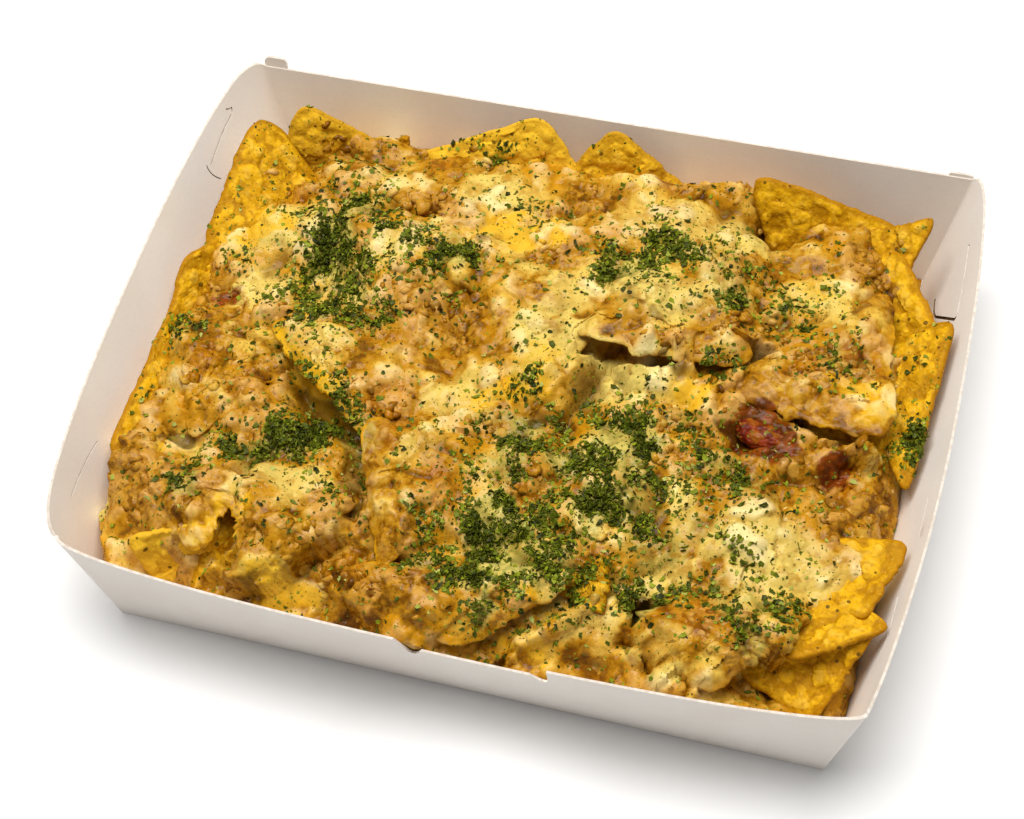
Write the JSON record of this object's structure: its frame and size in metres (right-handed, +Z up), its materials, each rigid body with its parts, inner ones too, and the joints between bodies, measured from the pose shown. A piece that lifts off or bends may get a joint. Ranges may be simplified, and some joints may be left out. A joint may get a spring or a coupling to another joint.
{
  "type": "nachos",
  "caption": "Baked tortilla chips loaded with melted cheese, minced meat and herbs, heaped in a folded paperboard tray with bowed sides and sloping walls.",
  "frame": {"origin": "middle of the tray's underside, on the surface it stands on", "axes": "+X along the tray's long side, -Y the front wall with the thumb notches, +Z up"},
  "size_m": [0.2494, 0.1898, 0.0547],
  "materials": {
    "board": "smooth white food board, matt outside, slightly satin inside",
    "chip": "dry fried corn, blistered, golden with darker spots",
    "cheese": "melted cheese, soft satin gloss, browned in places, with dried parsley",
    "topping": "baked cheese, minced meat and sauce, moist gloss, strewn with dried parsley",
    "tomato": "soft baked tomato, moist"
  },
  "bodies": {
    "root": {"cheesy_chip_centre": "cheese", "cheesy_chip_front_draped": "cheese", "cheesy_chip_front_left": "cheese", "cheesy_chip_front_middle": "cheese", "cheesy_chip_front_right": "cheese", "cheesy_chip_front_wide": "cheese", "cheesy_chip_high_left": "cheese", "cheesy_chip_long_left": "cheese", "cheesy_chip_low_left": "cheese", "cheesy_chip_middle_right": "cheese", "cheesy_chip_right": "cheese", "chip_back_centre": "chip", "chip_back_left": "chip", "chip_back_middle": "chip", "chip_back_right": "chip", "chip_back_shard": "chip", "chip_corner_tip": "chip", "chip_front_corner": "chip", "chip_front_curl": "chip", "chip_front_small": "chip", "chip_front_strip": "chip", "chip_left_long": "chip", "chip_left_middle": "chip", "chip_left_tall": "chip", "chip_right_high": "chip", "chip_right_long": "chip", "chip_right_low": "chip", "chip_right_lowest": "chip", "chip_under_right": "chip", "heap": "topping", "tomato_piece": "tomato", "tray": "board"}
  },
  "joints": []
}
